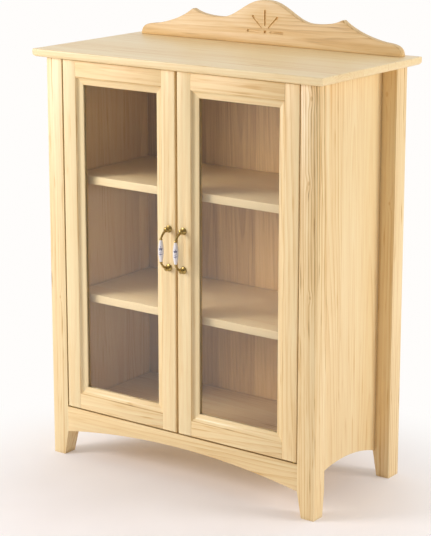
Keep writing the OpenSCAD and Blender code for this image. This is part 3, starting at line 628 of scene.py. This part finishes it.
def zincSteel():
    material, tree = newTree("zincPlatedSteel")
    place = addNode(tree, "TexCoord").outputs["Object"]
    cloud = addNode(tree, "TexNoise", {"Vector": place, "Scale": steelLook["clouds"], "Detail": 3})
    colour = addNode(tree, "ValToRGB", {0: cloud},
                     stops=[(0.35, steelLook["dark"]), (0.65, steelLook["light"])])
    gloss = addNode(tree, "MapRange", {0: cloud, 1: 0.3, 2: 0.7, 3: steelLook["roughness"][0],
                                       4: steelLook["roughness"][1]})
    shader = addNode(tree, "BsdfPrincipled", {"Base Color": colour, "Metallic": 1, "Roughness": gloss})
    addNode(tree, "OutputMaterial", {"Surface": shader})
    return material


# Injection-moulded nylon: off-white, slightly waxy, with a fine mould texture.
nylonLook = {
    "dull": "#e4e0d4",
    "clean": "#f0ede3",
    "roughness": 0.5,
    "ior": 1.53,
    "grains": 700,       # of the mould's 0.1 mm texture per metre, drawn 1.4 mm wide so that they show
    "relief": 0.05,      # mm
}


def mouldedNylon():
    material, tree = newTree("mouldedNylon")
    place = addNode(tree, "TexCoord").outputs["Object"]
    grain = addNode(tree, "TexNoise", {"Vector": place, "Scale": nylonLook["grains"], "Detail": 2})
    colour = addNode(tree, "ValToRGB", {0: grain},
                     stops=[(0.3, nylonLook["dull"]), (0.7, nylonLook["clean"])])
    relief = addNode(tree, "Bump", {"Height": grain, "Strength": 0.2, "Distance": nylonLook["relief"] * mm})
    shader = addNode(tree, "BsdfPrincipled", {"Base Color": colour, "Roughness": nylonLook["roughness"],
                                              "IOR": nylonLook["ior"], "Normal": relief})
    addNode(tree, "OutputMaterial", {"Surface": shader})
    return material


# Turned beech dowels, left bare: pinkish brown with short dark flecks.
beechLook = {
    "fleck": "#c69a6c",
    "wood": "#dcb588",
    "roughness": 0.6,
    "ior": 1.5,
    "flecks": 900,       # per metre, so about 1 mm across
}


def bareBeech():
    material, tree = newTree("bareBeech")
    place = addNode(tree, "TexCoord").outputs["Object"]
    fleck = addNode(tree, "TexNoise", {"Vector": place, "Scale": beechLook["flecks"], "Detail": 3})
    colour = addNode(tree, "ValToRGB", {0: fleck},
                     stops=[(0.35, beechLook["fleck"]), (0.62, beechLook["wood"])])
    shader = addNode(tree, "BsdfPrincipled", {"Base Color": colour, "Roughness": beechLook["roughness"],
                                              "IOR": beechLook["ior"]})
    addNode(tree, "OutputMaterial", {"Surface": shader})
    return material


plain = {"glass": floatGlass(), "brass": antiqueBrass(), "steel": zincSteel(), "nylon": mouldedNylon(),
         "beech": bareBeech()}
for part in subparts:
    slot = part["material_slot"]
    if slot in plain:
        dress(part["node"], plain[slot])
        if slot != "glass":
            easeEdges(part["node"], 0)
print("glass, brass, steel, nylon and beech set")

# Slip-cast porcelain under a clear glaze, with a small sprig painted in cobalt blue: white, very
# glossy, the paint soft at its edges.
gripLook = {
    "glaze": "#f3eff1",
    "cobalt": "#42446e",
    "leaf": "#7d80a2",
    "roughness": (0.1, 0.16),
    "ior": 1.54,
    "coat": 0.6,
    "coatRoughness": 0.05,
    "dimple": 4,         # mm across the unevenness of the casting
    "relief": 0.05,      # mm, its depth
    "turn": 32,          # degrees from the front round to the sprig
    "radius": 6.5,       # mm, on which the sprig is laid out
    "waver": 0.7,        # mm that the brush strays
    "stroke": 1.25,      # mm from one such bend to the next
    "soft": (0.75, 1.05),                                 # where the paint starts to thin, and ends
    "petals": 5,
    "petal": (2.0, 1.3), # mm, half length and half width
    "flower": (3.0, 2.2, 6),                              # mm from eye to petal across and up, and its height
    # Brush marks: place across and up in mm, half width and height, turn in radians, strength of the paint.
    "marks": [
        (0, 6, 1.0, 0.9, 0, 0.55), (0.3, -2.6, 0.4, 4.6, 0.08, 0.7), (2.0, -0.9, 1.8, 0.6, 0.6, 0.65),
        (-1.8, -3.2, 1.9, 0.65, -0.6, 0.65), (0.0, -7.2, 2.0, 1.3, 0, 0.95), (3.0, -6.6, 1.9, 0.9, 0.4, 0.8),
        (-2.9, -7.6, 1.9, 0.9, -0.3, 0.8), (0.2, -10.0, 0.5, 1.4, 0, 0.6), (0.1, 12.4, 0.8, 1.0, 0, 0.7),
        (-1.4, 11.6, 1.1, 0.45, -0.7, 0.5),
    ],
}


def sprigMarks():
    marks = list(gripLook["marks"])
    wide, high, height = gripLook["flower"]
    for petal in range(gripLook["petals"]):
        turn = math.tau * petal / gripLook["petals"] + math.pi / 2
        marks.append((wide * math.cos(turn), height + high * math.sin(turn), *gripLook["petal"], turn, 1.0))
    return marks


def paintedPorcelain(name, centre):
    material, tree = newTree(name)
    place = addNode(tree, "TexCoord").outputs["Object"]
    local = addNode(tree, "VectorMath", {0: place, 1: centre}, operation="SUBTRACT")
    scaled = addNode(tree, "VectorMath", {0: local, 1: [1 / mm] * 3}, operation="MULTIPLY")
    parts = addNode(tree, "SeparateXYZ", {0: scaled})
    toFront = addNode(tree, "Math", {0: parts.outputs[1], 1: -1}, operation="MULTIPLY")
    around = addNode(tree, "Math", {0: parts.outputs[0], 1: toFront}, operation="ARCTAN2")
    radius = gripLook["radius"]
    across = addNode(tree, "Math", {0: around, 1: radius, 2: -radius * math.radians(gripLook["turn"])},
                     operation="MULTIPLY_ADD")
    flat = addNode(tree, "CombineXYZ", {0: across, 1: parts.outputs[2]})
    waver = addNode(tree, "TexNoise", {"Vector": flat, "Scale": 1 / gripLook["stroke"], "Detail": 1})
    astray = (gripLook["waver"], gripLook["waver"], 0)
    flat = addNode(tree, "VectorMath", {0: waver.outputs["Color"], 1: astray, 2: flat},
                   operation="MULTIPLY_ADD")
    paint = 0.0
    for x, z, wide, high, turn, strength in sprigMarks():
        blot = addNode(tree, "Mapping", {"Vector": flat, "Location": (x, z, 0), "Rotation": (0, 0, turn),
                                         "Scale": (wide, high, 1)}, vector_type="TEXTURE")
        far = addNode(tree, "VectorMath", {0: blot}, operation="LENGTH").outputs["Value"]
        inner, outer = gripLook["soft"]
        mark = addNode(tree, "MapRange", {0: far, 1: inner, 2: outer, 3: strength, 4: 0},
                       interpolation_type="SMOOTHSTEP")
        paint = addNode(tree, "Math", {0: mark, 1: paint}, operation="MAXIMUM")
    colour = addNode(tree, "ValToRGB", {0: paint}, stops=[
        (0.0, gripLook["glaze"]), (0.5, gripLook["leaf"]), (1.0, gripLook["cobalt"])])
    cast = addNode(tree, "TexNoise", {"Vector": scaled, "Scale": 1 / gripLook["dimple"], "Detail": 2})
    relief = addNode(tree, "Bump", {"Height": cast, "Strength": 0.2, "Distance": gripLook["relief"] * mm})
    gloss = addNode(tree, "MapRange", {0: cast, 3: gripLook["roughness"][0], 4: gripLook["roughness"][1]})
    shader = addNode(tree, "BsdfPrincipled", {
        "Base Color": colour, "Roughness": gloss, "IOR": gripLook["ior"], "Normal": relief,
        "Coat Weight": gripLook["coat"], "Coat Roughness": gripLook["coatRoughness"]})
    addNode(tree, "OutputMaterial", {"Surface": shader})
    return material


# The bow handles: each arm is one casting, swept from its foot on the door to the porcelain grip. All in mm.
bow = {
    "pitch": 96,         # between the feet
    "reach": 31,         # from the door's face to the grip's axis
    # Distance out from the door and radius of the bell-shaped foot.
    "foot": [(0, 8.3), (0.8, 9.0), (1.8, 8.9), (2.7, 7.2), (4, 5.0), (5.6, 3.8), (7.4, 3.5), (8.8, 4.2),
             (10, 5.6), (11.4, 6.4), (12.8, 6.0), (14, 4.4), (14.8, 2.2), (15, 0.3)],
    # Place along Y from the door's face, height from the middle of the handle, and radius of the arm.
    "arm": [(-9.5, 47.6, 2.9), (-13.5, 46.2, 3.1), (-18, 43.6, 3.1), (-22.6, 40.4, 2.9), (-26.4, 36.6, 2.7),
            (-29.2, 32.8, 2.6), (-30.5, 30.6, 2.7), (-30.9, 29.6, 3.2), (-31, 28.8, 3.7), (-31, 28.0, 3.8),
            (-31, 27.2, 3.8), (-31, 26.6, 3.6), (-31, 26.3, 3.2)],
    # Height from the middle and radius of the grip, whose lower half is the same.
    "grip": [(0, 7.0), (6, 6.8), (12, 6.15), (17, 5.35), (21, 4.6), (24, 4.0), (26, 3.6), (26.9, 3.3),
             (27, 2.5)],
    "thinnest": 0.2,     # least radius, where the curve closes
    "footSteps": 3,      # from one point of a list to the next
    "armSteps": 4,
    "gripSteps": 4,
    "armSides": 32,
    "gripSides": 48,
    "crease": 50,        # degrees, the least bend of an edge that is shaded as a crease
}


def sweptTube(shape, path, sides):                        # path: (centre, radius) pairs, closed at both ends
    rows = []
    for i, (centre, radius) in enumerate(path):
        ahead = path[min(i + 1, len(path) - 1)][0] - path[max(i - 1, 0)][0]
        turn = ahead.to_track_quat("Z", "X")
        rows.append([shape.verts.new(centre + turn @ Vector((math.cos(a) * radius, math.sin(a) * radius, 0)))
                     for a in (math.tau * k / sides for k in range(sides))])
    for near, far in zip(rows, rows[1:]):
        for k in range(sides):
            shape.faces.new([near[k], near[(k + 1) % sides], far[(k + 1) % sides], far[k]])
    shape.faces.new(rows[0][::-1])
    shape.faces.new(rows[-1])


def smoothPath(points, steps):                            # Catmull-Rom curve through (x, y, z, radius) points
    curve = []
    for i in range(len(points) - 1):
        p0, p1, p2, p3 = (Vector(points[min(max(j, 0), len(points) - 1)]) for j in range(i - 1, i + 3))
        for k in range(steps):
            t = k / steps
            curve.append(0.5 * (2 * p1 + (p2 - p0) * t + (2 * p0 - 5 * p1 + 4 * p2 - p3) * t * t
                                + (3 * p1 - p0 - 3 * p2 + p3) * t ** 3))
    curve.append(Vector(points[-1]))
    return [(Vector(p[:3]), p[3]) for p in curve]


def makeHandle(side):
    low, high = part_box(side + "_handle_grip")
    middle = (low + high) / 2
    face = Vector((middle.x, middle.y + bow["reach"] * mm, middle.z))
    castings = bmesh.new()
    for end in (-1, 1):
        foot = smoothPath([(0, -out, end * bow["pitch"] / 2, r) for out, r in bow["foot"]],
                          bow["footSteps"])
        arm = smoothPath([(0, y, end * z, r) for y, z, r in bow["arm"]], bow["armSteps"])
        for path in (foot, arm):
            sweptTube(castings, [(face + c * mm, max(r, bow["thinnest"]) * mm) for c, r in path],
                      bow["armSides"])
    bmesh.ops.recalc_face_normals(castings, faces=castings.faces)
    mesh = meshFrom(castings, side + "HandleArms")
    mesh.shade_smooth()
    mesh.set_sharp_from_angle(angle=math.radians(bow["crease"]))
    mesh.materials.append(plain["brass"])
    addPiece(side + "HandleArms", mesh, side + "_door", side + "_handle_arms")

    grip = bmesh.new()
    profile = [(0, 0, -z, r) for z, r in bow["grip"][::-1]] + [(0, 0, z, r) for z, r in bow["grip"][1:]]
    curve = smoothPath(profile, bow["gripSteps"])
    sweptTube(grip, [(middle + c * mm, r * mm) for c, r in curve], bow["gripSides"])
    bmesh.ops.recalc_face_normals(grip, faces=grip.faces)
    mesh = meshFrom(grip, side + "HandleGrip")
    mesh.shade_smooth()
    mesh.materials.append(paintedPorcelain(side + "Porcelain", middle))
    addPiece(side + "HandleGrip", mesh, side + "_door", side + "_handle_grip")


for side in ("left", "right"):
    makeHandle(side)
print("handles made")

# Camera, as fitted to the photograph's edges: metres, degrees and millimetres.
view = {"at": (2.521, -3.476, 1.628), "yaw": 36.17, "pitch": 12.83, "sensor": 36, "lens": 119.64,
        "shift": -0.10}
camera = putIn("camera", bpy.data.cameras.new("camera"))
camera.location = view["at"]
camera.rotation_euler = (math.radians(90 - view["pitch"]), 0, math.radians(view["yaw"]))
camera.data.sensor_width = view["sensor"]
camera.data.lens = view["lens"]
camera.data.shift_y = view["shift"]
bpy.context.scene.camera = camera

# A plain pale floor. Its far part and the sky meet in the same near-white. All in metres.
studio = {
    "size": 40,          # from the middle of the floor to its edge
    "floor": ("#f5efee", "#faf5f5"),
    "flecks": 3,         # per metre
    "white": "#fffdfb",
    "centre": (0.12, -0.25, 0),                           # of the part of the floor that shows its own shade
    "reach": (0.35, 0.9),                                 # from there to where the white starts and is full
    "glow": (0.03, 1.0), # share of plain white that the camera sees in the floor, near and far
    "bare": 0.4,         # from the floor's middle to where the white sheet that the glass mirrors brightens
    "sheet": 3.5,        # and to that sheet's edge
    "sheetEdge": 0.3,    # width of that edge
    "mirrored": (0.35, 0.95, 0.35),                       # share of white mirrored near, at the edge, past it
    "room": "#8b847d",   # the studio's floor past the sheet
    "sky": (0.78, 0.28), # strength all round, and towards the end where the photographer stands in the dark
    "darkEnd": (0.66, -0.71, 0.12),                       # which way that end is
    "darkFull": 0.85,    # cosine of the angle from there within which the sky is darkest
    "lamp": "#fffdfc",
    "softboxes": [       # place, point aimed at, width, power in watts and whether gloss mirrors it
        ((-1.65, -1.85, 1.45), (0, -0.1, 0.65), 1.1, 37.5, True),
        ((3.1, 1.1, 1.5), (0.4, 0.05, 0.6), 1.4, 47, False),    # it would glare off the lacquered top
    ],
}


def paleFloor():
    material, tree = newTree("paleFloor")
    place = addNode(tree, "TexCoord").outputs["Object"]
    fleck = addNode(tree, "TexNoise", {"Vector": place, "Scale": studio["flecks"]})
    sheet = addNode(tree, "ValToRGB", {0: fleck},
                    stops=[(0.3, studio["floor"][0]), (0.7, studio["floor"][1])])
    far = addNode(tree, "VectorMath", {0: place}, operation="LENGTH").outputs["Value"]
    past = addNode(tree, "MapRange", {0: far, 1: studio["sheet"], 2: studio["sheet"] + studio["sheetEdge"],
                                      3: 0, 4: 1})
    colour = addNode(tree, "Mix", {0: past, 6: sheet, 7: fromHex(studio["room"])}, data_type="RGBA")
    matte = addNode(tree, "BsdfDiffuse", {0: colour.outputs[2]})
    white = addNode(tree, "Emission", {0: fromHex(studio["white"]), 1: 1})
    rays = addNode(tree, "LightPath")
    aside = addNode(tree, "VectorMath", {0: place, 1: studio["centre"]}, operation="DISTANCE")
    glow = addNode(tree, "MapRange", {0: aside.outputs["Value"], 1: studio["reach"][0], 2: studio["reach"][1],
                                      3: studio["glow"][0], 4: studio["glow"][1]},
                   interpolation_type="SMOOTHSTEP")
    seen = addNode(tree, "Math", {0: rays.outputs["Is Camera Ray"], 1: glow}, operation="MULTIPLY")
    near, edge, outside = studio["mirrored"]
    mirrored = addNode(tree, "MapRange", {0: far, 1: studio["bare"], 2: studio["sheet"], 3: near, 4: edge})
    mirrored = addNode(tree, "Math", {0: past, 1: outside - edge, 2: mirrored}, operation="MULTIPLY_ADD")
    mirrored = addNode(tree, "Math", {0: rays.outputs["Is Glossy Ray"], 1: mirrored}, operation="MULTIPLY")
    share = addNode(tree, "Math", {0: seen, 1: mirrored}, operation="MAXIMUM")
    mixed = addNode(tree, "MixShader", {0: share, 1: matte, 2: white})
    addNode(tree, "OutputMaterial", {"Surface": mixed})
    return material


plane = bmesh.new()
bmesh.ops.create_grid(plane, x_segments=1, y_segments=1, size=studio["size"])
floor = putIn("floor", meshFrom(plane, "floor"))
floor.data.materials.append(paleFloor())

# The sky is plain white to the camera and through the glass, and in gloss too but for its dark end. It lights
# the cabinet a little less than that.
world = bpy.data.worlds.new("studio")
bpy.context.scene.world = world
world.use_nodes = True
sky = world.node_tree
sky.nodes.clear()
rays = addNode(sky, "LightPath")
plainly = addNode(sky, "Math", {0: rays.outputs["Is Camera Ray"], 1: rays.outputs["Is Transmission Ray"]},
                  operation="MAXIMUM")
ray = addNode(sky, "TexCoord").outputs["Generated"]
towards = addNode(sky, "VectorMath", {0: ray, 1: Vector(studio["darkEnd"]).normalized()},
                  operation="DOT_PRODUCT").outputs["Value"]
strength = addNode(sky, "MapRange", {0: towards, 1: 0.0, 2: studio["darkFull"], 3: studio["sky"][0],
                                     4: studio["sky"][1]}, interpolation_type="SMOOTHSTEP")
shiny = addNode(sky, "MapRange", {0: rays.outputs["Is Glossy Ray"], 3: 1, 4: 1 / studio["sky"][0]})
strength = addNode(sky, "Math", {0: strength, 1: shiny}, operation="MULTIPLY")
soft = addNode(sky, "Background", {0: fromHex(studio["white"]), 1: strength})
bright = addNode(sky, "Background", {0: fromHex(studio["white"]), 1: 1})
both = addNode(sky, "MixShader", {0: plainly, 1: soft, 2: bright})
addNode(sky, "OutputWorld", {0: both})

for number, (at, aim, width, power, mirrored) in enumerate(studio["softboxes"]):
    lamp = bpy.data.lights.new("softbox%d" % number, "AREA")
    lamp.shape = "DISK"
    lamp.size = width
    lamp.energy = power
    lamp.color = fromHex(studio["lamp"])[:3]
    holder = putIn(lamp.name, lamp)
    holder.location = at
    holder.rotation_euler = (Vector(aim) - Vector(at)).to_track_quat("-Z", "Y").to_euler()
    holder.visible_glossy = mirrored
bpy.context.scene.view_settings.view_transform = "Standard"
print("studio lit")
